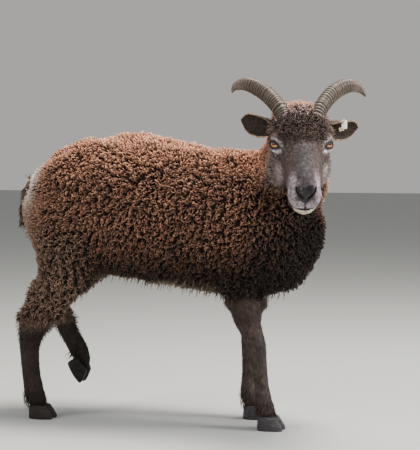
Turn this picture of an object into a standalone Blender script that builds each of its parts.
"""A Soay ewe at life size, standing in mid-walk with her head turned over her right side.

Metres, +Z up. She faces +X, her right flank is at -Y and the floor is z = 0. The origin lies
on the floor under the middle of her outline.

The flesh is modelled whole, from lofted sections along the trunk, neck, head and legs. Rounded
clumps of fleece are set close over it and joined to it, and the whole is then parted into nodes
by thin cuts. Horns, ears, eyes, claws, tail and ear tag are their own pieces, each cut to lie
face to face with what it grows from.
"""

import math
import random

import bmesh
import bpy
from mathutils import Matrix, Vector

# Driving sizes
BACK_HEIGHT = 0.548
BARREL_WIDTH = 0.270
RUMP_X = -0.288
BREAST_X = 0.295
EYE_RADIUS = 0.0135
EYE_OFFSET = 0.0405
HORN_ROOT_RADIUS = 0.0141
EAR_LENGTH = 0.076
EAR_WIDTH = 0.039
HOOF_HEIGHT = 0.026
GAP = 0.0003

# The fleece: how far its tips stand off the core, and the clumps' spacing and size
COAT_DEPTH = 0.018
CLUMP_SPACING = 0.0365
CLUMP_LENGTH = 0.055
CLUMP_WIDTH = 0.047
CURL_SPACING = 0.0168
CURL_LENGTH = 0.0195
CURL_WIDTH = 0.0165
CURL_RISE = 0.0070
FLEECE_TRIANGLES = 7500
TAIL_TRIANGLES = 360
SEED = 11
THROWS = 9000
draw = random.Random(SEED)

# Placing of the head: the point between the eyes, the way she faces and how far the nose dips
EYES_MIDDLE = Vector((0.2804, -0.134, 0.518))
FACING_ANGLE = math.radians(18.0)
NOSE_DIP = math.radians(39.0)

facing = Vector((math.sin(FACING_ANGLE), -math.cos(FACING_ANGLE), 0.0))
leftward = Vector((math.cos(FACING_ANGLE), math.sin(FACING_ANGLE), 0.0))
turned = Matrix((facing, leftward, Vector((0, 0, 1)))).transposed().to_4x4()
LEVEL = Matrix.Translation(EYES_MIDDLE) @ turned
HEAD = LEVEL @ Matrix.Rotation(NOSE_DIP, 4, "Y")


# Scene and materials

for old in list(bpy.data.objects):
    bpy.data.objects.remove(old)

ewe = bpy.data.collections.new("soay_ewe")
cutters = bpy.data.collections.new("cutters")
bpy.context.scene.collection.children.link(ewe)
bpy.context.scene.collection.children.link(cutters)


def finish(name, colour, roughness):
    """A Principled material."""
    material = bpy.data.materials.new(name)
    material.use_nodes = True
    shader = material.node_tree.nodes["Principled BSDF"]
    shader.inputs["Base Color"].default_value = (*colour, 1.0)
    shader.inputs["Roughness"].default_value = roughness
    shader.inputs["Metallic"].default_value = 0.0
    return material


FLEECE = finish("fleece", (0.075, 0.042, 0.028), 0.95)
SHORT_HAIR = finish("short_hair", (0.055, 0.038, 0.032), 0.9)
FACE_HAIR = finish("face_hair", (0.110, 0.085, 0.080), 0.85)
HORN = finish("horn", (0.190, 0.165, 0.145), 0.55)
CLAW = finish("claw", (0.060, 0.055, 0.055), 0.6)
EYE = finish("eye", (0.400, 0.240, 0.080), 0.1)
TAG = finish("tag", (0.850, 0.850, 0.820), 0.4)


# Helpers: meshes, lofts and modifiers


def made(name, mesh, material=SHORT_HAIR, collection=ewe):
    piece = bpy.data.objects.new(name, mesh)
    collection.objects.link(piece)
    mesh.materials.clear()
    mesh.materials.append(material)
    return piece


def as_mesh(name, shape):
    """A mesh from a bmesh, with its faces turned outwards."""
    bmesh.ops.recalc_face_normals(shape, faces=shape.faces)
    mesh = bpy.data.meshes.new(name)
    shape.to_mesh(mesh)
    shape.free()
    return mesh


def bake(piece):
    """The piece's modifiers applied."""
    bpy.context.view_layer.update()
    seen = piece.evaluated_get(bpy.context.evaluated_depsgraph_get())
    mesh = bpy.data.meshes.new_from_object(seen)
    piece.modifiers.clear()
    piece.data = mesh
    return piece


def boolean(piece, other, operation):
    """Piece joined with, cut by or kept inside other, an object or a collection."""
    cut = piece.modifiers.new(operation.lower(), "BOOLEAN")
    cut.operation = operation
    cut.solver = "MANIFOLD"
    if isinstance(other, bpy.types.Collection):
        cut.operand_type = "COLLECTION"
        cut.collection = other
    else:
        cut.object = other
    return bake(piece)


def discard(*pieces):
    for piece in pieces:
        bpy.data.objects.remove(piece)


def copied(piece, name):
    twin = bpy.data.objects.new(name, piece.data.copy())
    twin.matrix_world = piece.matrix_world
    cutters.objects.link(twin)
    return twin


def signed_volume(faces):
    return sum(
        f.verts[0].co.dot(f.verts[i].co.cross(f.verts[i + 1].co)) / 6
        for f in faces
        for i in range(1, len(f.verts) - 1)
    )


def keep_largest(piece):
    """Only the largest closed surface of the piece stays."""
    shape = bmesh.new()
    shape.from_mesh(piece.data)
    unseen = set(shape.faces)
    shells = []
    while unseen:
        shell = {unseen.pop()}
        edge = list(shell)
        while edge:
            for side in edge.pop().edges:
                for face in side.link_faces:
                    if face in unseen:
                        unseen.remove(face)
                        shell.add(face)
                        edge.append(face)
        shells.append(shell)
    shells.sort(key=signed_volume)
    doomed = [face for shell in shells[:-1] for face in shell]
    bmesh.ops.delete(shape, geom=doomed, context="FACES")
    loose = [v for v in shape.verts if not v.link_faces]
    bmesh.ops.delete(shape, geom=loose, context="VERTS")
    shape.to_mesh(piece.data)
    shape.free()
    return piece


def grown(piece, name, by):
    """A copy whose surface stands a little proud, to cut a gap with."""
    twin = copied(piece, name)
    shape = bmesh.new()
    shape.from_mesh(twin.data)
    shape.normal_update()
    moves = [vertex.normal * by for vertex in shape.verts]
    for vertex, move in zip(shape.verts, moves):
        vertex.co += move
    shape.to_mesh(twin.data)
    shape.free()
    return twin


def fit_against(piece, carrier, by=GAP * 1.3):
    """Cuts piece back to lie a gap away from its carrier."""
    cutter = grown(carrier, "fit_cutter", by)
    boolean(piece, cutter, "DIFFERENCE")
    discard(cutter)
    return keep_largest(boolean(piece, carrier, "DIFFERENCE"))


def smoothed(stations, steps):
    """The stations with steps - 1 more between each two, on a Catmull-Rom curve."""
    rows = [stations[0], *stations, stations[-1]]
    result = []
    for window in zip(rows, rows[1:], rows[2:], rows[3:]):
        for step in range(steps):
            t = step / steps
            point = []
            for a, b, c, d in zip(*window):
                bend = 2 * a - 5 * b + 4 * c - d
                twist = 3 * b - a - 3 * c + d
                point.append(0.5 * (2 * b + (c - a) * t + bend * t**2 + twist * t**3))
            result.append(point)
    result.append(list(stations[-1]))
    return result


def section(centre, side, up, half_width, above, below, count, power=2.2, keel=0.0):
    """A closed ring: a superellipse whose lower half may be deeper, and narrowed by keel."""
    ring = []
    for step in range(count):
        turn = 2 * math.pi * step / count
        across = math.copysign(abs(math.cos(turn)) ** (2 / power), math.cos(turn))
        rise = math.copysign(abs(math.sin(turn)) ** (2 / power), math.sin(turn))
        width = half_width * across * (1 - keel * max(0.0, -rise))
        height = rise * (above if rise > 0 else below)
        ring.append(centre + side * width + up * height)
    return ring


def loft(name, rings, material=SHORT_HAIR, collection=ewe):
    """A closed skin over rings of equal count, each end drawn to a middle point."""
    shape = bmesh.new()
    rows = [[shape.verts.new(point) for point in ring] for ring in rings]
    count = len(rings[0])
    for row, after in zip(rows, rows[1:]):
        for i in range(count):
            j = (i + 1) % count
            shape.faces.new((row[i], row[j], after[j], after[i]))
    for row in (rows[0], rows[-1]):
        middle = sum((v.co for v in row), Vector()) / count
        pole = shape.verts.new(middle)
        for i in range(count):
            shape.faces.new((row[i], row[(i + 1) % count], pole))
    return made(name, as_mesh(name, shape), material, collection)


def limb(name, stations, count=14, steps=3, power=2.1, collection=ewe):
    """A tube through stations of x, y, z, half thickness fore and aft, and half width."""
    path = smoothed(stations, steps)
    points = [Vector(row[:3]) for row in path]
    rings = []
    for i, row in enumerate(path):
        along = (points[min(i + 1, len(points) - 1)] - points[max(i - 1, 0)]).normalized()
        side = Vector((0, 1, 0))
        side = (side - along * side.dot(along)).normalized()
        ahead = side.cross(along)
        rings.append(section(points[i], side, ahead, row[4], row[3], row[3], count, power))
    return loft(name, rings, SHORT_HAIR, collection)


def blob(name, matrix, centre, radii, turn=None, segments=16, collection=ewe):
    """An ellipsoid from a primitive sphere, placed in the frame of matrix."""
    shape = bmesh.new()
    bmesh.ops.create_uvsphere(shape, u_segments=segments, v_segments=segments // 2 + 2, radius=1.0)
    turn = turn or Matrix.Identity(4)
    place = matrix @ Matrix.Translation(centre) @ turn @ Matrix.Diagonal((*radii, 1.0))
    bmesh.ops.transform(shape, matrix=place, verts=shape.verts)
    return made(name, as_mesh(name, shape), SHORT_HAIR, collection)


def block(name, matrix, low, high):
    """A box cutter from corner low to corner high in the frame of matrix."""
    shape = bmesh.new()
    bmesh.ops.create_cube(shape, size=1.0)
    low, high = Vector(low), Vector(high)
    size = high - low
    place = matrix @ Matrix.Translation((low + high) / 2) @ Matrix.Diagonal((*size, 1.0))
    bmesh.ops.transform(shape, matrix=place, verts=shape.verts)
    cutter = made(name, as_mesh(name, shape), SHORT_HAIR, cutters)
    cutter.hide_render = True
    cutter.display_type = "WIRE"
    return cutter


def fused(name, pieces, material=SHORT_HAIR):
    """The pieces joined by one union with the first of them."""
    first, rest = pieces[0], pieces[1:]
    group = bpy.data.collections.new(name + "_pieces")
    for piece in rest:
        group.objects.link(piece)
    boolean(first, group, "UNION")
    discard(*rest)
    bpy.data.collections.remove(group)
    first.name = name
    first.data.materials.clear()
    first.data.materials.append(material)
    return first


def thinned(piece, triangles, may_thin=None):
    """The piece in about that many triangles, its flattest and narrowest ones merged first."""
    piece.modifiers.new("triangle", "TRIANGULATE")
    bake(piece)
    thin = piece.modifiers.new("thin", "DECIMATE")
    thin.ratio = triangles / len(piece.data.polygons)
    if may_thin:
        group = piece.vertex_groups.new(name="thin")
        chosen = [vertex.index for vertex in piece.data.vertices if may_thin(vertex.co)]
        group.add(chosen, 1.0, "REPLACE")
        thin.vertex_group = group.name
    bake(piece)
    piece.vertex_groups.clear()
    return piece


def soften(piece, voxel, rounds, triangles):
    """Blends fused shapes into one even skin of about that many triangles."""
    remesh = piece.modifiers.new("remesh", "REMESH")
    remesh.mode = "VOXEL"
    remesh.voxel_size = voxel
    smooth = piece.modifiers.new("smooth", "SMOOTH")
    smooth.factor = 0.5
    smooth.iterations = rounds
    return thinned(bake(piece), triangles)


# The trunk, neck and legs

# x, top z, bottom z, half width
TRUNK = [
    (RUMP_X, 0.425, 0.365, 0.030),
    (-0.277, 0.463, 0.335, 0.068),
    (-0.250, 0.497, 0.305, 0.100),
    (-0.200, 0.530, 0.285, 0.122),
    (-0.120, BACK_HEIGHT, 0.265, BARREL_WIDTH / 2),
    (-0.030, 0.545, 0.250, BARREL_WIDTH / 2 + 0.004),
    (0.050, 0.530, 0.243, BARREL_WIDTH / 2),
    (0.120, 0.519, 0.236, 0.126),
    (0.180, 0.512, 0.232, 0.112),
    (0.235, 0.495, 0.240, 0.092),
    (0.273, 0.455, 0.280, 0.066),
    (BREAST_X, 0.405, 0.330, 0.030),
]

# x, y, z, half depth, half width, from the withers to behind the jaw
NECK = [
    (0.120, 0.000, 0.370, 0.125, 0.090),
    (0.175, -0.004, 0.400, 0.112, 0.086),
    (0.223, -0.018, 0.441, 0.091, 0.080),
    (0.248, -0.042, 0.489, 0.074, 0.072),
    (0.259, -0.075, 0.528, 0.060, 0.064),
    (0.262, -0.095, 0.545, 0.040, 0.046),
]

# Legs: x, y, z, half thickness fore and aft, half width
FORE_RIGHT = [
    (0.150, -0.060, 0.330, 0.050, 0.034),
    (0.148, -0.060, 0.262, 0.040, 0.030),
    (0.158, -0.058, 0.215, 0.026, 0.023),
    (0.176, -0.056, 0.168, 0.0195, 0.0190),
    (0.181, -0.055, 0.150, 0.0195, 0.0190),
    (0.185, -0.055, 0.125, 0.0160, 0.0155),
    (0.190, -0.055, 0.080, 0.0150, 0.0150),
    (0.193, -0.055, 0.052, 0.0175, 0.0185),
    (0.199, -0.055, 0.034, 0.0175, 0.0190),
    (0.204, -0.055, 0.018, 0.0170, 0.0190),
]
FORE_LEFT = [
    (0.140, 0.060, 0.330, 0.050, 0.034),
    (0.138, 0.058, 0.262, 0.040, 0.030),
    (0.139, 0.055, 0.215, 0.026, 0.023),
    (0.141, 0.053, 0.168, 0.0195, 0.0190),
    (0.141, 0.052, 0.150, 0.0195, 0.0190),
    (0.139, 0.052, 0.125, 0.0160, 0.0155),
    (0.138, 0.052, 0.080, 0.0150, 0.0150),
    (0.138, 0.052, 0.052, 0.0175, 0.0185),
    (0.144, 0.052, 0.034, 0.0175, 0.0190),
    (0.149, 0.052, 0.018, 0.0170, 0.0190),
]
HIND_RIGHT = [
    (-0.170, -0.070, 0.390, 0.095, 0.052),
    (-0.175, -0.072, 0.330, 0.088, 0.050),
    (-0.190, -0.070, 0.275, 0.070, 0.042),
    (-0.217, -0.064, 0.235, 0.054, 0.034),
    (-0.245, -0.060, 0.197, 0.042, 0.028),
    (-0.261, -0.058, 0.165, 0.027, 0.021),
    (-0.266, -0.057, 0.130, 0.0200, 0.0180),
    (-0.262, -0.056, 0.080, 0.0190, 0.0170),
    (-0.257, -0.056, 0.050, 0.0205, 0.0190),
    (-0.251, -0.056, 0.033, 0.0185, 0.0190),
    (-0.246, -0.056, 0.018, 0.0175, 0.0190),
]
HIND_LEFT = [
    (-0.165, 0.070, 0.390, 0.092, 0.052),
    (-0.163, 0.072, 0.340, 0.078, 0.050),
    (-0.183, 0.070, 0.297, 0.058, 0.042),
    (-0.224, 0.064, 0.262, 0.046, 0.033),
    (-0.261, 0.058, 0.234, 0.033, 0.026),
    (-0.256, 0.056, 0.202, 0.025, 0.022),
    (-0.239, 0.055, 0.171, 0.0205, 0.0185),
    (-0.221, 0.055, 0.138, 0.0190, 0.0175),
    (-0.208, 0.055, 0.117, 0.0200, 0.0190),
    (-0.202, 0.055, 0.098, 0.0175, 0.0190),
    (-0.202, 0.055, 0.080, 0.0170, 0.0190),
]


# Heights between which the fleece thins out down each leg
FORE_WOOL = (0.222, 0.262)
HIND_WOOL = (0.165, 0.262)
TAIL_ROOM = 0.024


def wool_share(z, heights):
    """How much of the coat's depth there is at a height on a leg: 0 on the shank, 1 on the body."""
    share = min(1.0, max(0.0, (z - heights[0]) / (heights[1] - heights[0])))
    return share * share * (3 - 2 * share)


def trunk():
    """The barrel of the body, inside the fleece."""
    rings = []
    for x, top, bottom, half in smoothed(TRUNK, 2):
        inside = min(COAT_DEPTH, 0.45 * half)
        top, bottom, half = top - inside, bottom + inside, half - inside
        middle = bottom + 0.52 * (top - bottom)
        centre, side, up = Vector((x * 0.965, 0, middle)), Vector((0, 1, 0)), Vector((0, 0, 1))
        rings.append(section(centre, side, up, half, top - middle, middle - bottom, 24, 2.25))
    return loft("trunk", rings)


def core_of(stations, heights):
    """The same stations with the fleece taken off."""
    rows = []
    for x, y, z, ahead, aside in stations:
        inside = COAT_DEPTH * wool_share(z, heights)
        rows.append((x, y, z, ahead - inside, aside - inside * 0.8))
    return rows


def body():
    """Trunk, neck and legs blended into one core."""
    everywhere = (-1.0, 0.0)
    pieces = [
        trunk(),
        limb("neck_core", core_of(NECK, everywhere), count=20),
        limb("fore_right_core", core_of(FORE_RIGHT, FORE_WOOL)),
        limb("fore_left_core", core_of(FORE_LEFT, FORE_WOOL)),
        limb("hind_right_core", core_of(HIND_RIGHT, HIND_WOOL)),
        limb("hind_left_core", core_of(HIND_LEFT, HIND_WOOL)),
    ]
    return soften(fused("body", pieces), voxel=0.006, rounds=6, triangles=2300)


# The fleece


def scattered(surface, spacing, is_woolly):
    """Points on the woolly part of a surface, none closer than spacing, with their normals."""
    faces = [face for face in surface.data.polygons if is_woolly(face.center, face.normal)]
    areas = [face.area for face in faces]
    points = surface.data.vertices
    kept = []
    for face in draw.choices(faces, areas, k=THROWS):
        corners = [points[i].co for i in face.vertices]
        a, b = draw.random(), draw.random()
        if a + b > 1:
            a, b = 1 - a, 1 - b
        spot = corners[0] + (corners[1] - corners[0]) * a + (corners[2] - corners[0]) * b
        if all((spot - other).length > spacing for other, _ in kept):
            kept.append((spot, face.normal.copy()))
    return kept


def clump(spot, normal, lie, length, width, rise, sides=7):
    """One rounded clump: sunk in the core, longer along its lie, its lower end standing off more."""
    lie = (lie - normal * lie.dot(normal)).normalized()
    turn = Matrix((lie, normal.cross(lie), normal)).transposed().to_4x4()
    turn = turn @ Matrix.Rotation(math.radians(draw.uniform(-35, 35)), 4, "Z")
    turn = turn @ Matrix.Rotation(math.radians(-draw.uniform(3, 12)), 4, "Y")
    size = draw.uniform(0.92, 1.12)
    high = rise * draw.uniform(0.86, 1.0)
    radii = (length / 2 * size, width / 2 * size, high * 0.92)
    shape = bmesh.new()
    bmesh.ops.create_uvsphere(shape, u_segments=sides, v_segments=sides - 2, radius=1.0)
    place = Matrix.Translation(spot + normal * high * 0.08) @ turn @ Matrix.Diagonal((*radii, 1.0))
    bmesh.ops.transform(shape, matrix=place, verts=shape.verts)
    return made("clump", as_mesh("clump", shape), FLEECE)


def is_above_shanks(spot):
    return spot.z > (0.232 if spot.x > 0 else 0.178)


def is_fleece(spot, normal):
    """Whether a clump grows at a spot of the core: not on the shanks, nor under head or tail."""
    on_head = HEAD.inverted() @ spot
    if on_head.x > -0.066 and abs(on_head.y) < 0.085 and on_head.z > -0.115:
        return False
    if spot.x < -0.2 and abs(spot.y) < TAIL_ROOM and spot.z > 0.36:
        return False
    return is_above_shanks(spot)


def fleece(core):
    """Clumps all over the body, lying back and down."""
    clumps = []
    for spot, normal in scattered(core, CLUMP_SPACING, is_fleece):
        heights = FORE_WOOL if spot.x > 0 else HIND_WOOL
        rise = COAT_DEPTH * max(0.55, wool_share(spot.z, heights))
        lie = Vector((-0.7, 0.0, -0.7))
        clumps.append(clump(spot, normal, lie, CLUMP_LENGTH, CLUMP_WIDTH, rise))
    return clumps


def is_topknot(spot, normal):
    """Whether a spot lies on the brow or poll, clear of the horns' and ears' roots."""
    on_head = HEAD.inverted() @ spot
    level = LEVEL.inverted() @ spot
    if not (-0.066 < on_head.x < -0.004 and abs(on_head.y) < 0.040 and on_head.z > 0.012):
        return False
    root = Vector(HORN_LINE[0][:3])
    return (Vector((level.x, abs(level.y), level.z)) - root).length > 0.024


def topknot(head):
    """Small curls between the horns and down the brow."""
    down_the_face = HEAD.to_3x3() @ Vector((1, 0, 0))
    size = (CURL_LENGTH, CURL_WIDTH, CURL_RISE, 6)
    spots = scattered(head, CURL_SPACING, is_topknot)
    return [clump(spot, normal, down_the_face, *size) for spot, normal in spots]


# The head, in its own frame: +X along the face to the nose, +Y to her left, +Z out of the brow

# x, top, bottom, half width
SKULL = [
    (-0.085, 0.014, -0.040, 0.026),
    (-0.070, 0.031, -0.064, 0.041),
    (-0.045, 0.041, -0.080, 0.047),
    (-0.015, 0.043, -0.086, 0.049),
    (0.012, 0.040, -0.084, 0.046),
    (0.040, 0.032, -0.077, 0.038),
    (0.070, 0.024, -0.067, 0.0305),
    (0.095, 0.018, -0.061, 0.0275),
    (0.112, 0.011, -0.057, 0.0270),
    (0.121, 0.002, -0.050, 0.0230),
    (0.125, -0.009, -0.040, 0.0130),
]


def skull():
    rings = []
    for x, top, bottom, half in smoothed(SKULL, 2):
        middle = 0.35 * bottom + 0.65 * top - 0.012
        side, up = Vector((0, 1, 0)), Vector((0, 0, 1))
        ring = section(Vector((x, 0, middle)), side, up, half, top - middle, middle - bottom, 28, 2.3, 0.28)
        rings.append([HEAD @ point for point in ring])
    return loft("skull", rings)


def on_both_sides(name, centre, radii, turn=None, **more):
    """An ellipsoid on the left of the head and its mirror on the right."""
    pieces = []
    for side in (1, -1):
        place = Matrix.Diagonal((1, side, 1, 1))
        pieces.append(blob(f"{name}_{side}", HEAD @ place, centre, radii, turn, **more))
    return pieces


def head_flesh():
    pieces = [skull()]
    pieces += on_both_sides("brow", (-0.004, 0.036, 0.010), (0.025, 0.018, 0.020))
    pieces += on_both_sides("cheek", (0.000, 0.030, -0.048), (0.040, 0.019, 0.030))
    pieces += on_both_sides("lip", (0.106, 0.0150, -0.022), (0.019, 0.0145, 0.017))
    pieces += on_both_sides("wing_of_nose", (0.112, 0.0115, 0.000), (0.014, 0.0090, 0.0095))
    pieces.append(blob("chin", HEAD, (0.100, 0, -0.048), (0.023, 0.0205, 0.0135)))
    return soften(fused("head_flesh", pieces), voxel=0.0024, rounds=7, triangles=1150)


# Out of the pupil, and along the lids to the inner corner, for her left eye
EYE_AXIS = Vector((0.51, 0.75, 0.42)).normalized()
LID_LINE = Vector((0.76, -0.62, 0.18))
EYE_SIDES = 12


def eye_frame(side):
    """A frame at an eye's middle: +X out of the pupil, +Y along the lids to the inner corner."""
    out = Vector((EYE_AXIS.x, EYE_AXIS.y * side, EYE_AXIS.z))
    inner = Vector((LID_LINE.x, LID_LINE.y * side, LID_LINE.z))
    inner = (inner - out * inner.dot(out)).normalized()
    up = out.cross(inner) * (-side)
    turn = Matrix((out, inner, up)).transposed().to_4x4()
    return HEAD @ Matrix.Translation((0.006, EYE_OFFSET * side, 0.006)) @ turn


def nostril_cutter(side):
    """A slit that runs from high on the outside to low beside the middle of the nose."""
    turn = Matrix.Rotation(side * math.radians(38), 4, "X")
    centre, radii = (0.1235, 0.0105 * side, -0.0050), (0.0085, 0.0028, 0.0098)
    return blob(f"nostril_{side}", HEAD, centre, radii, turn, 8, cutters)


def groove(name, points, radius, target):
    """A round groove cut along points that are first laid on the target's surface."""
    tree_owner = target.evaluated_get(bpy.context.evaluated_depsgraph_get())
    curve = bpy.data.curves.new(name, "CURVE")
    curve.dimensions = "3D"
    curve.bevel_depth = radius
    curve.bevel_resolution = 0
    curve.use_fill_caps = True
    spline = curve.splines.new("POLY")
    spline.points.add(len(points) - 1)
    for knot, point in zip(spline.points, points):
        found, place, _, _ = tree_owner.closest_point_on_mesh(HEAD @ Vector(point))
        knot.co = (*place, 1.0)
    wire = bpy.data.objects.new(name, curve)
    cutters.objects.link(wire)
    bpy.context.view_layer.update()
    mesh = bpy.data.meshes.new_from_object(wire.evaluated_get(bpy.context.evaluated_depsgraph_get()))
    shape = bmesh.new()
    shape.from_mesh(mesh)
    bmesh.ops.remove_doubles(shape, verts=shape.verts, dist=0.00001)
    tube = made(name + "_tube", as_mesh(name, shape), SHORT_HAIR, cutters)
    discard(wire)
    boolean(target, tube, "DIFFERENCE")
    discard(tube)


def add_face(head):
    """Lids, eye sockets, nostrils, the cleft of the lip and the line of the mouth."""
    lids = []
    for side in (1, -1):
        lid = blob(f"lid_{side}", eye_frame(side), (0, 0, 0), (EYE_RADIUS + 0.0022,) * 3, None, EYE_SIDES)
        lids.append(lid)
    head = fused("head_flesh", [head, *lids])
    for side in (1, -1):
        frame = eye_frame(side)
        socket = blob("socket", frame, (0, 0, 0), (EYE_RADIUS + GAP * 1.4,) * 3, None, EYE_SIDES, cutters)
        almond = blob("almond", frame, (EYE_RADIUS, 0, 0), (0.0070, 0.0112, 0.0062), None, 10, cutters)
        for cutter in (almond, socket, nostril_cutter(side)):
            boolean(head, cutter, "DIFFERENCE")
            discard(cutter)
    reach, half_width, mouth_z = 0.052, 0.034, -0.038
    mouth = []
    for step in range(15):
        turn = math.radians(-98 + 14 * step)
        back = 1 - math.cos(turn)
        mouth.append((0.076 + reach * math.cos(turn), half_width * math.sin(turn), mouth_z + 0.004 * back))
    groove("mouth", mouth, 0.0013, head)
    groove("lip_cleft", [(0.130, 0, -0.012 - 0.0055 * step) for step in range(5)], 0.0011, head)
    return keep_largest(head)


def eyes():
    for side, word in ((-1, "right"), (1, "left")):
        eye = blob(f"eye_{word}", eye_frame(side), (0, 0, 0), (EYE_RADIUS,) * 3, None, EYE_SIDES)
        eye.data.materials[0] = EYE


# Horns, ears and tag, in the level frame of the head: +X ahead, +Y to her left, +Z up

# ahead, to the side, up, radius along the curve's plane as a share of the root's
HORN_LINE = [
    (-0.012, 0.026, 0.040, 1.00),
    (-0.022, 0.036, 0.064, 1.04),
    (-0.040, 0.053, 0.086, 1.06),
    (-0.058, 0.071, 0.100, 1.02),
    (-0.074, 0.089, 0.107, 0.91),
    (-0.084, 0.104, 0.106, 0.74),
    (-0.088, 0.115, 0.099, 0.48),
    (-0.086, 0.1205, 0.089, 0.12),
]
# How far each horn's tip is out of the mirrored line, to the side and up
HORN_LEAN = {-1: (-0.0040, 0.0060), 1: (0.0038, -0.0010)}
STEPS_A_HORN = 5
RING_RISE = 0.0009


def horn(side, word):
    """A tapered horn that sweeps out and back, its rings raised on the lower two thirds."""
    path = smoothed(HORN_LINE, STEPS_A_HORN)
    points = []
    for i, (ahead, out, up, _) in enumerate(path):
        lean_out, lean_up = (amount * (i / (len(path) - 1)) ** 2 for amount in HORN_LEAN[side])
        points.append(Vector((ahead, (out + lean_out) * side, up + lean_up)))
    lengths = [0.0]
    for a, b in zip(points, points[1:]):
        lengths.append(lengths[-1] + (b - a).length)
    rings = []
    for i, row in enumerate(path):
        along = (points[min(i + 1, len(points) - 1)] - points[max(i - 1, 0)]).normalized()
        inward = Vector((0.55, -0.15 * side, 0.80))
        inward = (inward - along * inward.dot(along)).normalized()
        across = along.cross(inward)
        share = lengths[i] / lengths[-1]
        ridge = RING_RISE * (1 if i % 2 else -1) * (1 - min(1.0, max(0.0, share - 0.62) / 0.18))
        radius = HORN_ROOT_RADIUS * row[3] + ridge
        ring = section(points[i], across, inward, radius * 0.82, radius, radius, 9, 2.2)
        rings.append([LEVEL @ point for point in ring])
    return loft(f"horn_{word}", rings, HORN)


# Her left ear is held lower than the right; each entry is ahead, to the side and up
EAR_ROOT = Vector((-0.022, 0.045, 0.026))
EAR_TIPS = {-1: Vector((-0.070, 0.1035, 0.0465)), 1: Vector((-0.064, 0.1085, 0.0315))}
EAR_OPENINGS = {-1: Vector((0.93, 0.12, -0.30)), 1: Vector((0.86, 0.12, -0.50))}
EAR_THICKNESS = 0.0026
EAR_WIDEST = 0.52


def ear_point(side, t, share):
    """A place on the leaf: t from its root to its tip, share from -1 below to 1 above."""
    mirror = Vector((1, side, 1))
    root, tip, opening = (EAR_ROOT * mirror, EAR_TIPS[side] * mirror, EAR_OPENINGS[side] * mirror)
    along = (tip - root).normalized()
    opening = (opening - along * opening.dot(along)).normalized()
    across = along.cross(opening) * (-side)
    if t < EAR_WIDEST:
        swell = 0.50 + 0.50 * math.sin(math.pi * t / EAR_WIDEST / 2)
    else:
        swell = math.cos(math.pi / 2 * ((t - EAR_WIDEST) / (1 - EAR_WIDEST)) ** 1.5 * 0.96)
    roll = math.radians(125 - 75 * min(1.0, t / 0.6))
    radius = EAR_WIDTH / 2 * swell / math.sin(min(roll, math.pi / 2))
    sink = radius * (math.cos(roll * share) - math.cos(roll))
    rise = 0.006 * math.sin(math.pi * t)
    point = root + along * (EAR_LENGTH * t) + across * (radius * math.sin(roll * share))
    return LEVEL @ (point + opening * (rise - sink))


def ear(side, word):
    """A leaf rolled into a cup, open to the front, drawn in to a short stalk at its root."""
    rows, columns = 10, 7
    shape = bmesh.new()
    grid = []
    for i in range(rows):
        shares = [2 * j / (columns - 1) - 1 for j in range(columns)]
        grid.append([shape.verts.new(ear_point(side, i / (rows - 1), share)) for share in shares])
    for row, after in zip(grid, grid[1:]):
        for j in range(columns - 1):
            shape.faces.new((row[j], row[j + 1], after[j + 1], after[j]))
    piece = made(f"ear_{word}", as_mesh("ear", shape), SHORT_HAIR)
    wall = piece.modifiers.new("wall", "SOLIDIFY")
    wall.thickness = EAR_THICKNESS
    wall.offset = 0.0
    return bake(piece)


def stalk(side, word):
    """The gristle at the root of an ear, that fills the cup where it meets the head."""
    centre = (EAR_ROOT.x - 0.003, EAR_ROOT.y * side, EAR_ROOT.z + 0.001)
    return blob(f"stalk_{word}", LEVEL, centre, (0.013, 0.013, 0.012), None, 8)


TAG_AT = (0.50, 0.30)
LEAF = Vector((0.0012, 0.0105, 0.0140))
PIN_RADIUS = 0.0016
BUTTON_RADIUS = 0.0045
TAG_REACH = 0.0034


def tag_frame():
    """A frame on her left ear where the tag is pinned: +X out of the cup, +Z up across it."""
    t, share = TAG_AT
    centre = ear_point(1, t, share)
    along = (ear_point(1, t + 0.02, share) - centre).normalized()
    across = ear_point(1, t, share + 0.02) - centre
    across = (across - along * across.dot(along)).normalized()
    turn = Matrix((along.cross(across), along, across)).transposed().to_4x4()
    return Matrix.Translation(centre) @ turn


def disc(name, matrix, radius, start, end, sides):
    """A short round bar along +X of the frame, from start to end."""
    shape = bmesh.new()
    place = matrix @ Matrix.Translation(((start + end) / 2, 0, 0)) @ Matrix.Rotation(math.pi / 2, 4, "Y")
    size = {"radius1": radius, "radius2": radius, "depth": end - start}
    bmesh.ops.create_cone(shape, cap_ends=True, segments=sides, matrix=place, **size)
    return made(name, as_mesh(name, shape), TAG)


def tag():
    """A plain plastic tag: a leaf in the cup of her left ear, pinned through to a button."""
    frame = tag_frame()
    shape = bmesh.new()
    bmesh.ops.create_cube(shape, size=1.0)
    place = frame @ Matrix.Translation((TAG_REACH, 0, -0.0015)) @ Matrix.Diagonal((*LEAF, 1.0))
    bmesh.ops.transform(shape, matrix=place, verts=shape.verts)
    leaf = made("leaf", as_mesh("leaf", shape), TAG)
    pin = disc("pin", frame, PIN_RADIUS, -TAG_REACH, TAG_REACH, 8)
    button = disc("button", frame, BUTTON_RADIUS, -TAG_REACH - LEAF.x, -TAG_REACH, 12)
    return fused("ear_tag", [leaf, pin, button], TAG)


# Claws: each foot has two, and its pastern ends on a plane just above them

# x, y, height of the sole, dip of the toe in degrees
FEET = {
    "fore_right": (0.209, -0.055, 0.0, 0.0),
    "fore_left": (0.154, 0.052, 0.0, 0.0),
    "hind_right": (-0.239, -0.056, 0.0, 0.0),
    "hind_left": (-0.2149, 0.055, 0.0729, 58.0),
}
CLAW_LENGTH = 0.047
CLAW_WIDTH = 0.0215
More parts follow.
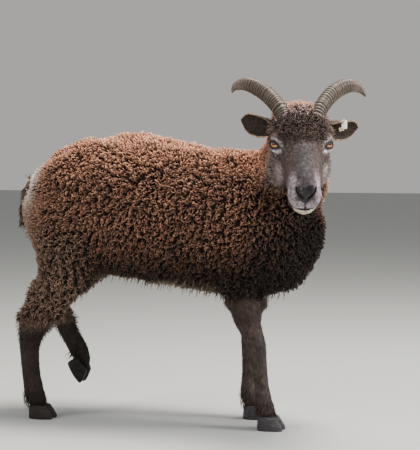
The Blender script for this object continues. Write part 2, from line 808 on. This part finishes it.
# height as a share of the claw's, length, shift along the foot and swell of its rings
CLAW_RINGS = [
    (0.0, 1.0, 0.0, 0.96),
    (0.25, 1.0, -0.0005, 1.0),
    (0.7, 0.83, -0.0035, 0.97),
    (1.0, 0.70, -0.0060, 0.88),
]
CLAW_SIDES = 9


def foot_frame(foot):
    """A frame on the sole under the middle of a foot, turned with the foot."""
    x, y, height, dip = FEET[foot]
    return Matrix.Translation((x, y, height)) @ Matrix.Rotation(math.radians(dip), 4, "Y")


def claw(foot, side, word):
    """One claw: flat inside, round outside, drawn forward to its toe, with a level sole."""
    frame = foot_frame(foot) @ Matrix.Rotation(side * math.radians(3.5), 4, "Z")
    rings = []
    for share, length, shift, swell in CLAW_RINGS:
        z = (HOOF_HEIGHT - GAP) * share
        half_length, half_width = CLAW_LENGTH / 2 * length, CLAW_WIDTH / 2 * swell
        middle = side * (CLAW_WIDTH / 2 + 0.0006)
        ring = []
        for step in range(CLAW_SIDES):
            turn = 2 * math.pi * step / CLAW_SIDES
            x, y = math.cos(turn), math.sin(turn)
            x = math.copysign(abs(x) ** 0.85, x)
            if y * side > 0:
                y *= 1 - 0.38 * max(0.0, x) ** 1.6
            else:
                y = math.copysign(abs(y) ** 0.6, y) * (1 - 0.15 * max(0.0, x))
            ring.append(frame @ Vector((shift + half_length * x, middle + half_width * y, z)))
        rings.append(ring)
    return loft(f"claw_{foot}_{word}", rings, CLAW)


# Parting the whole into nodes

# frame, low corner, high corner of the space that each node takes from the whole
UPRIGHT = Matrix.Identity(4)
FAR = 0.25
CANNON_TILT = math.radians(-26)
REGIONS = {
    "head": (HEAD, (-0.074, -0.080, -0.092), (FAR, 0.080, FAR)),
    "fore_leg_right": (UPRIGHT, (0.090, -0.13, -0.02), (0.260, -0.004, 0.238)),
    "fore_leg_left": (UPRIGHT, (0.080, 0.004, -0.02), (0.240, 0.13, 0.238)),
    "cannon_right": (UPRIGHT, (-0.340, -0.13, -0.02), (-0.180, -0.004, 0.152)),
    "cannon_left": (
        Matrix.Translation((-0.250, 0.055, 0.192)) @ Matrix.Rotation(CANNON_TILT, 4, "Y"),
        (-0.07, -0.050, -0.20),
        (0.07, 0.07, 0.0),
    ),
    "thigh_right": (UPRIGHT, (-0.380, -FAR, 0.10), (-0.112, -0.001, 0.292)),
    "thigh_left": (UPRIGHT, (-0.380, 0.001, 0.10), (-0.112, FAR, 0.292)),
    "neck": (
        Matrix.Translation((0.200, 0.0, 0.430)) @ Matrix.Rotation(math.radians(-43), 4, "Y"),
        (0.0, -FAR, -0.135),
        (FAR, FAR, FAR),
    ),
}
WOOLLY = ("neck", "torso", "thigh_right", "thigh_left")
NODE_FINISH = {"head": FACE_HAIR, **{node: FLEECE for node in WOOLLY}}


def part_whole(whole):
    """Takes each region out of the whole in turn, and leaves the torso."""
    for node, (frame, low, high) in REGIONS.items():
        inside = block("inside", frame, low, high)
        around = block("around", frame, [c - GAP for c in low], [c + GAP for c in high])
        piece = made(node, whole.data.copy(), NODE_FINISH.get(node, SHORT_HAIR))
        keep_largest(boolean(piece, inside, "INTERSECT"))
        boolean(whole, around, "DIFFERENCE")
        discard(inside, around)
    keep_largest(whole)
    whole.name = "torso"
    whole.data.materials[0] = FLEECE


def trim_pasterns():
    """Ends each leg on the plane over its claws."""
    legs = {"fore_right": "fore_leg_right", "fore_left": "fore_leg_left"}
    legs.update(hind_right="cannon_right", hind_left="cannon_left")
    for foot, node in legs.items():
        behind = -0.0242 if FEET[foot][3] else -0.06
        cutter = block("under", foot_frame(foot), (behind, -0.045, -0.08), (0.06, 0.045, HOOF_HEIGHT))
        keep_largest(boolean(bpy.data.objects[node], cutter, "DIFFERENCE"))
        discard(cutter)


# x, y, z, half thickness, half width of the tail, from its root down
TAIL = [
    (-0.252, 0.000, 0.472, 0.019, 0.017),
    (-0.275, 0.000, 0.454, 0.0135, 0.015),
    (-0.290, 0.000, 0.426, 0.0105, 0.0135),
    (-0.296, 0.000, 0.398, 0.0090, 0.0125),
    (-0.298, 0.000, 0.376, 0.0075, 0.010),
    (-0.299, 0.000, 0.360, 0.003, 0.004),
]


def tail():
    """A short woolly tail, its clumps down both sides and the back."""
    core = limb("tail_core", TAIL, count=8, steps=2)
    clumps = []
    for row in TAIL[1:5]:
        for aside in (-0.6, 0.6):
            normal = Vector((-1, aside * 1.6, 0.1)).normalized()
            spot = Vector(row[:3]) + Vector((-row[3] * 0.7, aside * row[4], 0))
            clumps.append(clump(spot, normal, Vector((0, 0, -1)), 0.030, 0.014, 0.0035))
    return thinned(fused("tail", [core, *clumps]), TAIL_TRIANGLES)


def centre_on_origin():
    """Slides the whole ewe so that the origin is under the middle of her outline."""
    corners = [v.co for piece in ewe.objects for v in piece.data.vertices]
    low = [min(c[i] for c in corners) for i in range(3)]
    high = [max(c[i] for c in corners) for i in range(3)]
    slide = Matrix.Translation((-(low[0] + high[0]) / 2, -(low[1] + high[1]) / 2, -low[2]))
    for piece in ewe.objects:
        piece.data.transform(slide)


def main():
    head = head_flesh()
    bare_head = copied(head, "bare_head")
    core = body()
    woolly = fused("woolly", [core, *fleece(core)])
    thinned(woolly, FLEECE_TRIANGLES, is_above_shanks)
    curly = fused("curly", [add_face(head), *topknot(bare_head)])
    part_whole(fused("whole", [woolly, curly]))
    trim_pasterns()
    fit_against(tail(), bpy.data.objects["torso"], by=GAP * 3)
    for foot in FEET:
        claw(foot, 1, "left")
        claw(foot, -1, "right")
    eyes()
    for side, word in ((-1, "right"), (1, "left")):
        grown_horn = fit_against(horn(side, word), bare_head)
        cupped = fused(f"ear_{word}", [ear(side, word), stalk(side, word)])
        fit_against(cupped, bare_head)
        fit_against(cupped, grown_horn)
    fit_against(bpy.data.objects["ear_left"], tag())
    for wool in ("head", "neck"):
        for grown_out in ("horn_left", "horn_right", "ear_left", "ear_right"):
            fit_against(bpy.data.objects[wool], bpy.data.objects[grown_out])
    discard(bare_head)
    for piece in ewe.objects:
        piece.data.shade_smooth()
        piece.data.set_sharp_from_angle(angle=math.radians(40))
    centre_on_origin()


main()
